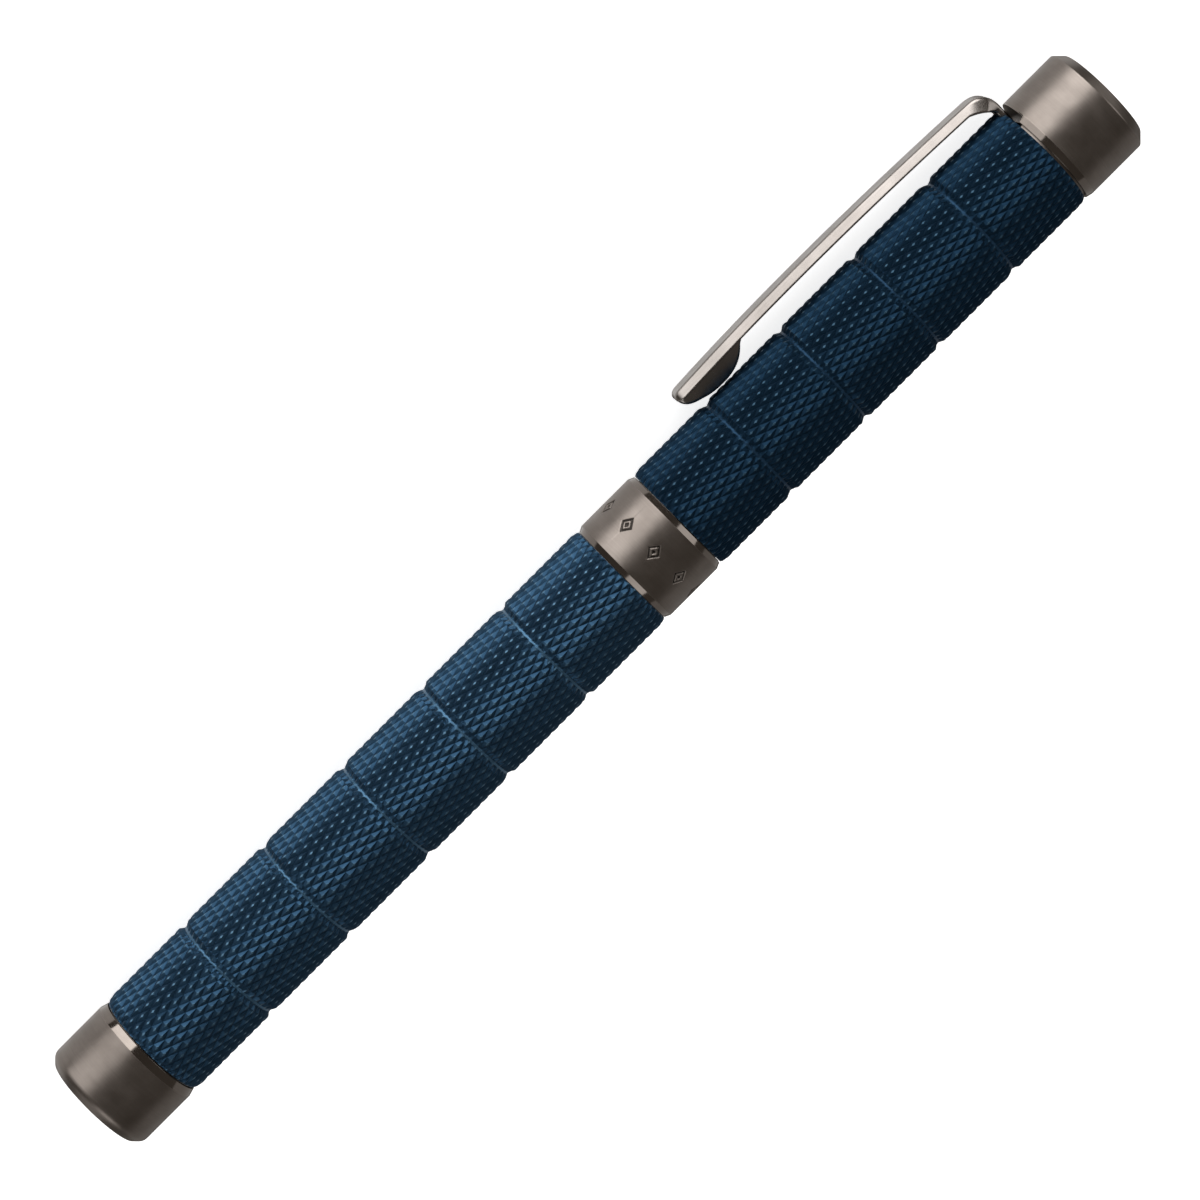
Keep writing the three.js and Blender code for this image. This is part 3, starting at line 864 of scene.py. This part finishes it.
def section_trim_ring():
    start, end, outer = extent("section_trim_ring")
    bore = THREAD_RADIUS + 0.05
    piece = turned("section_trim_ring_turned", [
        (start, bore),
        (start, outer - 0.2),
        (start + 0.25, outer, 0.15),
        (end - 0.25, outer, 0.15),
        (end, outer - 0.2),
        (end, bore),
    ], sides=160)
    finish_piece(piece, "section_trim_ring", "bright_steel")


def section_grip():
    """The grip, with its snap-ring groove and four fine turned rings near the front."""
    start, end, outer = extent("section_grip")
    inner_sleeve, sleeve_end = 3.95, 81.2
    spigot_bore, spigot_start = 3.65, 108
    groove_start, groove_end, groove_floor = 80.5, 82.0, 4.35
    front = 4.15
    taper = lambda s: np.interp(s, [groove_end, end - 0.4], [outer - 0.1, front])
    rings = [
        (s + d, taper(s + d) - depth, 0.05)
        for s in (97, 100, 103, 106)
        for d, depth in ((-0.35, 0.0), (-0.12, 0.14), (0.12, 0.14), (0.35, 0.0))
    ]
    piece = turned("section_grip_turned", [
        (start, inner_sleeve),
        (start, outer, 0.12),
        (groove_start, outer, 0.08),
        (groove_start, groove_floor),
        (groove_end, groove_floor),
        (groove_end, taper(groove_end), 0.1),
        *rings,
        (end - 0.4, front, 0.1),
        (end, front - 0.2, 0.05),
        (end, spigot_bore),
        (spigot_start, spigot_bore),
        (spigot_start, REFILL_BORE),
        (sleeve_end, REFILL_BORE),
        (sleeve_end, inner_sleeve),
    ], sides=160)
    finish_piece(piece, "section_grip", "gunmetal")


def cap_snap_ring():
    start, end, outer = extent("cap_snap_ring")
    bore = 4.4
    piece = turned("cap_snap_ring_moulded", [
        (start, bore),
        (start, outer - 0.13, 0.04),
        (start + 0.3, outer, 0.15),
        (end - 0.3, outer, 0.15),
        (end, outer - 0.13, 0.04),
        (end, bore),
    ])
    finish_piece(piece, "cap_snap_ring", "black_plastic")


def section_nose():
    """The bright nose: a taper with an eased shoulder that leads the tip out."""
    start, end, outer = extent("section_nose")
    grip_end, spigot = 112.05, 3.6
    neck_start, neck_bore = 109.2, 1.85
    mouth_start, mouth_bore = 119.3, 1.65
    piece = turned("section_nose_turned", [
        (start, REFILL_BORE),
        (start, spigot),
        (grip_end, spigot),
        (grip_end, outer - 0.2, 0.05),
        (grip_end + 0.4, outer, 0.2),
        (117, 3.2, 2.0),
        (end - 0.2, 2.2, 0.15),
        (end, 2.05, 0.08),
        (end, mouth_bore),
        (mouth_start, mouth_bore),
        (mouth_start, neck_bore),
        (neck_start, neck_bore),
        (neck_start, REFILL_BORE),
    ], sides=160)
    finish_piece(piece, "section_nose", "bright_steel")


# ---- cap

def lozenges(stations, angles, middle, radius):
    """Share of the engraved depth on a row of lozenges with a dot, spaced evenly round the ring."""
    count, first = 10, math.radians(12)
    half_length, half_width, stroke = 0.95, 0.74, 0.15
    pitch = 2 * np.pi / count
    around = ((angles - first + pitch / 2) % pitch - pitch / 2) * radius
    shape = np.abs(stations - middle) / half_length + np.abs(around) / half_width
    outline = np.clip(1 - np.abs(shape - 0.82) * half_width / stroke, 0, 1)
    dot = np.clip(1 - (shape - 0.14) * half_width / stroke, 0, 1)
    return np.clip(2 * np.maximum(outline, dot), 0, 1)


def ring_outline(start, shoulder, end, radius):
    """The centre ring's rounded outline: a short tongue at each chamfer and a spigot behind."""
    tongue, tongue_radius = 0.06, radius - 0.45
    outline = [
        (start, RING_BORE),
        (start, SPIGOT_RADIUS),
        (start - tongue, SPIGOT_RADIUS),
        (start - tongue, tongue_radius),
        (start, tongue_radius),
        (start, radius - RING_CHAMFER_DEPTH),
        (start + RING_CHAMFER, radius),
        (shoulder - RING_CHAMFER, radius),
        (shoulder, radius - RING_CHAMFER_DEPTH),
        (shoulder, tongue_radius),
        (shoulder + tongue, tongue_radius),
        (shoulder + tongue, SPIGOT_RADIUS),
        (end, SPIGOT_RADIUS),
        (end, RING_BORE),
    ]
    return rounded(outline, 0.03)[0]


def cap_ring():
    """The centre ring, chamfered at both ends and engraved with a row of small lozenges."""
    start, end, radius = extent("cap_ring")
    shoulder = extent("cap_tube")[0] - 0.1
    middle = (start + shoulder) / 2
    points = ring_outline(start, shoulder, end, radius)
    row_gap, tiny = 0.05, 0.001
    band = np.arange(middle - ENGRAVED_HALF_BAND, middle + ENGRAVED_HALF_BAND + tiny, row_gap)
    fine = [np.array([s, radius]) for s in band]
    split = max(i for i, p in enumerate(points) if p[0] < middle and p[1] > radius - 0.01)
    points = points[: split + 1] + fine + points[split + 1:]
    stations = np.array([p[0] for p in points])
    radii = np.repeat(np.array([p[1] for p in points])[:, None], RING_SIDES, axis=1)
    angles = np.arange(RING_SIDES) * 2 * np.pi / RING_SIDES
    share = lozenges(stations[:, None], angles[None, :], middle, radius)
    in_band = np.abs(stations[:, None] - middle) <= ENGRAVED_HALF_BAND + tiny
    share = np.where((radii > radius - 1e-6) & in_band, share, 0)
    engraved = radii - ENGRAVED_DEPTH * share
    piece = revolved("cap_ring_engraved", stations, engraved, closed=True)
    add_value(piece, "engraved", share)
    edges = (radii > radius - RING_CHAMFER_DEPTH - 0.01) & (radii < radius - 0.01)
    add_value(piece, "polish", edges)
    finish_piece(piece, "cap_ring", "gunmetal")


def crown():
    """The cap's end, with the clip's slot cut into its lower edge."""
    start, end, radius = extent("crown")
    seat_radius, seat_floor = 5.5, 132.6
    stud_bore, stud_end, screw_end = STUD_RADIUS + 0.05, 136.8, 138.3
    lip, chamfer = start + CROWN_GAP, start + 0.85
    tongue = start - 0.08
    piece = turned("crown_turned", [
        (end, 0),
        (end, radius - 1.0, 0.15),
        (end - 1.0, radius, 0.12),
        (chamfer, radius, 0.03),
        (lip, radius - 0.16, 0.03),
        (lip, seat_radius + 0.1, 0.02),
        (tongue, seat_radius + 0.1, 0.02),
        (tongue, seat_radius),
        (seat_floor, seat_radius),
        (seat_floor, stud_bore),
        (stud_end, stud_bore),
        (stud_end, SCREW_BORE),
        (screw_end, SCREW_BORE),
        (screw_end, 0),
    ], sides=192, polished=(lip, chamfer))
    clip_slot(piece)
    split_edges(piece)
    finish_piece(piece, "crown", "gunmetal")


def clip_slot(piece):
    """Cuts the slot for the clip's tang."""
    low = (SLOT_START, SLOT_REACH, -SLOT_WIDTH / 2)
    high = (SLOT_END, SLOT_OUTSIDE, SLOT_WIDTH / 2)
    cut(piece, low, high)


def inner_cap():
    """The liner that closes round the tip."""
    start, end, outer = extent("inner_cap")
    inner, floor = 4.9, 125
    piece = turned("inner_cap_moulded", [
        (floor, 0),
        (floor, inner, 0.4),
        (start, inner),
        (start, outer),
        (end, outer, 0.3),
        (end, 0),
    ])
    finish_piece(piece, "inner_cap", "black_plastic")


def tip_seal():
    start, end, outer = extent("tip_seal")
    seal = turned("tip_seal_moulded", [
        (start, 0),
        (start, outer, 0.15),
        (end, outer, 0.1),
        (end, 0),
    ])
    finish_piece(seal, "tip_seal", "rubber")


def cap_top_fitting():
    """The fitting in the top of the cap, with the stud for the crown."""
    start, end, outer = extent("cap_top_fitting")
    flange = 131.35
    fitting = turned("cap_top_fitting_turned", [
        (start, SCREW_BORE),
        (start, outer),
        (flange, outer),
        (flange, STUD_RADIUS),
        (end, STUD_RADIUS, 0.2),
        (end, SCREW_BORE),
    ])
    clip_slot(fitting)
    split_edges(fitting)
    finish_piece(fitting, "cap_top_fitting", "brass")


def washer(name, node, bore):
    """A flat ring with a hole."""
    start, end, outer = extent(node)
    return turned(name, [(start, bore), (start, outer), (end, outer), (end, bore)])


def clip_ring():
    """The ring that is clamped at the clip's foot."""
    ring = washer("clip_ring_blanked", "clip_ring", STUD_RADIUS + 0.1)
    clip_slot(ring)
    split_edges(ring)
    finish_piece(ring, "clip_ring", "ring_steel")


def lock_washer():
    piece = washer("lock_washer_blanked", "lock_washer", SCREW_BORE)
    finish_piece(piece, "lock_washer", "bright_steel")


def clip_screw():
    """The screw that holds the crown, with a slotted head."""
    start, end, outer = extent("clip_screw")
    shank, head = 1.2, 127.4
    screw = turned("clip_screw_slotted", [
        (start, 0),
        (start, outer - 0.3, 0.1),
        (start + 0.3, outer, 0.1),
        (head, outer),
        (head, shank),
        (end - 0.4, shank),
        (end, shank - 0.4),
        (end, 0),
    ])
    cut(screw, (start - 1, -0.3, -3), (start + 0.6, 0.3, 3))
    split_edges(screw)
    finish_piece(screw, "clip_screw", "bright_steel")


# ---- clip

def bezier(points, steps):
    """Points along a quadratic curve, without its last one."""
    a, b, c = (np.array(p, dtype=float) for p in points)
    t = np.linspace(0, 1, steps, endpoint=False)[:, None]
    return (1 - t) ** 2 * a + 2 * t * (1 - t) * b + t**2 * c


def chained(points, steps):
    """Points along curves that meet at every second point and lean to the ones between."""
    curves = [bezier(points[2 * i : 2 * i + 3], count) for i, count in enumerate(steps)]
    return np.concatenate(curves)


def clip_section(outer, inner, half_height, lean):
    """A bar's section as (height, width) points: a wider underside and rounded corners."""
    corners = [
        (half_height, outer, 0.3),
        (-half_height, inner, 0.25),
        (-half_height, -inner, 0.25),
        (half_height, -outer, 0.3),
    ]
    return rounded(corners, lean)[0]


def nose_width(station, nose):
    """Share of the clip's full width near its nose, whose corners are round seen from above."""
    corner = 0.8
    reach = np.clip((station - nose) / corner, 0, 1)
    return 1 - corner / CLIP_INNER * (1 - math.sqrt(1 - (1 - reach) ** 2))


def clip_edges(nose):
    """The clip's outer and under edges: out of its slot, round a bend and along a bow."""
    steps = (6, 24, 60, 14)
    outer = chained((
        (TANG_END, TANG_REACH),
        (TANG_END, 5.5),
        (TANG_END, CLIP_ROOT_TOP),
        (TANG_END + 0.1, 9.05),
        (129.4, 9.1),
        (107, 10.2),
        (nose + 0.95, 9.3),
        (nose, 9.25),
        (nose, 8.6),
    ), steps)
    under = chained((
        (TANG_START, TANG_REACH),
        (TANG_START, 5.5),
        (TANG_START, CLIP_ROOT_TOP),
        (TANG_START - 0.6, 7.38),
        (128.8, 8.08),
        (107, 9.05),
        (nose + 0.95, 8.3),
        (nose + 0.1, 8.3),
        (nose, 8.6),
    ), steps)
    return outer, under


def clip_bar(nose):
    """The clip's bar, narrow at its root, wider along its bow and round at its nose."""
    root_end, widening = 120, 1.2
    centres, sections = [], []
    for a, b in zip(*clip_edges(nose)):
        middle = (a + b) / 2
        up = (a - b) / np.linalg.norm(a - b)
        rise = np.clip((middle[1] - CLIP_ROOT_TOP) / widening, 0, 1)
        taper = rise if middle[0] > root_end else 1
        share = nose_width(middle[0], nose)
        face = (CLIP_ROOT + (CLIP_OUTER - CLIP_ROOT) * taper) * share
        back = (CLIP_ROOT + (CLIP_INNER - CLIP_ROOT) * taper) * share
        ring = clip_section(face, back, np.linalg.norm(a - b) / 2, 0.1)
        centres.append((middle[0], middle[1], 0))
        sections.append([(h * up[0], h * up[1], w) for h, w in ring])
    return swept("clip_sprung", centres, sections)


def clip_pad(nose):
    """The boat-shaped pad under the nose, with sides that lean in to where it presses."""
    start = nose + 0.08
    profile = chained((
        (start, 8.35),
        (start + 0.2, 7.35),
        (91.2, 6.92),
        (92.3, 6.5),
        (93.4, 6.5),
        (93.8, 6.5),
        (94.2, 6.5),
        (96.2, 6.6),
        (97.4, 8.0),
        (97.65, 8.35),
        (98.0, 8.5),
    ), (16, 12, 4, 16, 8))
    top, side_top, widest, lean = 8.75, 8.4, 1.6, 0.36
    centres, sections = [], []
    for station, bottom in profile:
        share = nose_width(station, nose + 0.05)
        wide = widest * share
        narrow = (widest - lean * (side_top - bottom)) * share
        corners = [
            (top, wide, 0.05),
            (bottom, narrow, 0.3),
            (bottom, -narrow, 0.3),
            (top, -wide, 0.05),
        ]
        centres.append((station, 0, 0))
        sections.append([(0, h, w) for h, w in rounded(corners, 0.1)[0]])
    return swept("clip_pad", centres, sections)


def clip():
    """The clip with its pad, as one piece."""
    nose = extent("clip")[0]
    piece = clip_bar(nose)
    combine(piece, clip_pad(nose), "UNION")
    split_edges(piece)
    finish_piece(piece, "clip", "clip_steel")


# ---- stage

def panel(name, centre, aim, width, height, radiance, shiny=True):
    """A soft panel that faces its aim. Two radiances fade from its -X end to its +X end."""
    light = bpy.data.lights.new(name, "AREA")
    light.shape = "RECTANGLE"
    light.size, light.size_y = width, height
    light.energy = math.pi * width * height
    light.use_nodes = True
    nodes, links = light.node_tree.nodes, light.node_tree.links
    place = nodes.new("ShaderNodeNewGeometry")
    split = nodes.new("ShaderNodeSeparateXYZ")
    ramp = nodes.new("ShaderNodeMapRange")
    set_range(ramp, (centre[0] - width / 2, centre[0] + width / 2), radiance)
    links.new(place.outputs["Position"], split.inputs[0])
    links.new(split.outputs[0], ramp.inputs[0])
    links.new(ramp.outputs[0], nodes["Emission"].inputs["Strength"])
    holder = bpy.data.objects.new(name, light)
    direction = Vector(centre) - Vector(aim)
    holder.location = centre
    holder.rotation_euler = direction.to_track_quat("Z", "Y").to_euler()
    holder.visible_glossy = shiny
    holder.visible_camera = False
    bpy.context.scene.collection.objects.link(holder)


def pale_piece(name, points, faces, grain, specular, glow):
    """A pale, faintly glowing piece of the studio that metal doesn't mirror."""
    mesh = bpy.data.meshes.new(name)
    mesh.from_pydata(points, [], faces)
    piece = bpy.data.objects.new(name, mesh)
    n = Nodes(name + "_paint")
    paper = n.blend(n.noise(grain, detail=2), (0.88, 0.88, 0.88), (0.92, 0.92, 0.92))
    n.shade(Base_Color=paper, Roughness=0.9, Emission_Color=paper)
    n.shade(Specular_IOR_Level=specular, Emission_Strength=glow)
    mesh.materials.append(n.material)
    piece.visible_glossy = False
    piece.visible_shadow = False
    bpy.context.scene.collection.objects.link(piece)
    return piece


def table():
    """A pale table under the pen. Metal mirrors the panels below it in place of it."""
    size = 3.0
    corners = [(x * size, y * size, 0) for x, y in ((-1, -1), (1, -1), (1, 1), (-1, 1))]
    top = pale_piece("table", corners, [(0, 1, 2, 3)], grain=30, specular=0.1, glow=0.92)


def backdrop():
    """A pale wall round the table, seen by the camera only."""
    radius, height, sides = 2.8, 3.0, 64
    angle = np.arange(sides) * 2 * np.pi / sides
    circle = np.stack((radius * np.cos(angle), radius * np.sin(angle)), axis=-1)
    points = [(x, y, z) for z in (0, height) for x, y in circle]
    faces = [face[::-1] for face in grid_faces(2, sides, closed=False)]
    wall = pale_piece("backdrop", points, faces, grain=2, specular=0.5, glow=1.0)
    wall.visible_diffuse = False


def stage():
    """The studio: table, wall, faint surrounding light and panels."""
    table()
    backdrop()
    world = bpy.data.worlds.new("studio")
    bpy.context.scene.world = world
    world.use_nodes = True
    world.node_tree.nodes["Background"].inputs[0].default_value = (0.125, 0.112, 0.098, 1)

    # A tall softbox in front of the pen that is brighter towards the cap, a dimmer panel below
    # and in front, dim ones behind and past both ends, brighter ones high over both ends that
    # show from other sides, and an overhead light that only matt surfaces show.
    panel("softbox", (0, 0.75, -0.04), (0, 0, -0.04), 1.2, 0.86, (0.0, 5.0))
    panel("lower_panel", (0, 0.12, -0.5), (0, 0.12, 0), 1.3, 0.75, (0.65, 0.65))
    panel("back_panel", (0, -0.9, 0.17), (0, 0, 0.17), 1.6, 1.18, (0.24, 0.24))
    for side, end in (("tail", -1), ("crown", 1)):
        panel(side + "_panel", (end, 0, 0.15), (0, 0, 0.15), 0.6, 0.9, (0.5, 0.5))
        panel(side + "_wing", (1.1 * end, 0, 1.0), (0, 0, 0), 1.0, 0.8, (1.3, 1.3))
    panel("overhead", (0, -0.1, 1.3), (0, -0.1, 0), 2.4, 2.4, (0.45, 0.45), shiny=False)
    bpy.context.scene.view_settings.view_transform = "Standard"


def camera():
    """The camera stands over the pen on the clip's side, with the pen rising at 45 degrees."""
    distance, lens = 0.445, 136
    clip_to_view = math.radians(78)
    foot = 10 * MM
    aim_station, off_axis = 70.2 * MM, 0.24 * MM
    out = clip_direction()
    angle = math.atan2(out.z, out.y) + clip_to_view
    side = Vector((0, math.cos(angle), math.sin(angle)))
    up_pen = Vector((0, math.sin(angle), -math.cos(angle)))
    middle = PEN @ Vector((aim_station, 0, 0)) - up_pen * off_axis
    lean = math.asin(foot / distance)
    back = side * math.cos(lean) + Vector((1, 0, 0)) * math.sin(lean)
    pen_way = (Vector((1, 0, 0)) - back * back.x).normalized()
    clip_way = back.cross(pen_way)
    right = (pen_way - clip_way) / math.sqrt(2)
    up = (pen_way + clip_way) / math.sqrt(2)
    data = bpy.data.cameras.new("camera")
    data.lens = lens
    data.sensor_width = 36
    data.clip_start = 0.01
    eye = bpy.data.objects.new("camera", data)
    turn = Matrix((right, up, back)).transposed()
    eye.matrix_world = Matrix.Translation(middle + back * distance) @ turn.to_4x4()
    bpy.context.scene.collection.objects.link(eye)
    bpy.context.scene.camera = eye


# ---- the whole scene

camera()
tail_cap()
tail_fitting()
refill_spring()
knurled_tube("barrel_tube", BARREL_SEGMENTS, BARREL_BORE, "barrel_blue")
thread_bush()
refill_end_plug()
refill_tube()
ink_rods()
refill_feed()
refill_tip()
writing_ball()
section_coupling()
section_seal()
section_trim_ring()
section_grip()
cap_snap_ring()
section_nose()
cap_ring()
# The cap tube takes the darker copy of the blue, which is painted shade.
knurled_tube("cap_tube", CAP_SEGMENTS, CAP_BORE, "shaded_cap_blue")
inner_cap()
tip_seal()
cap_top_fitting()
clip_ring()
lock_washer()
clip_screw()
crown()
clip()
stage()
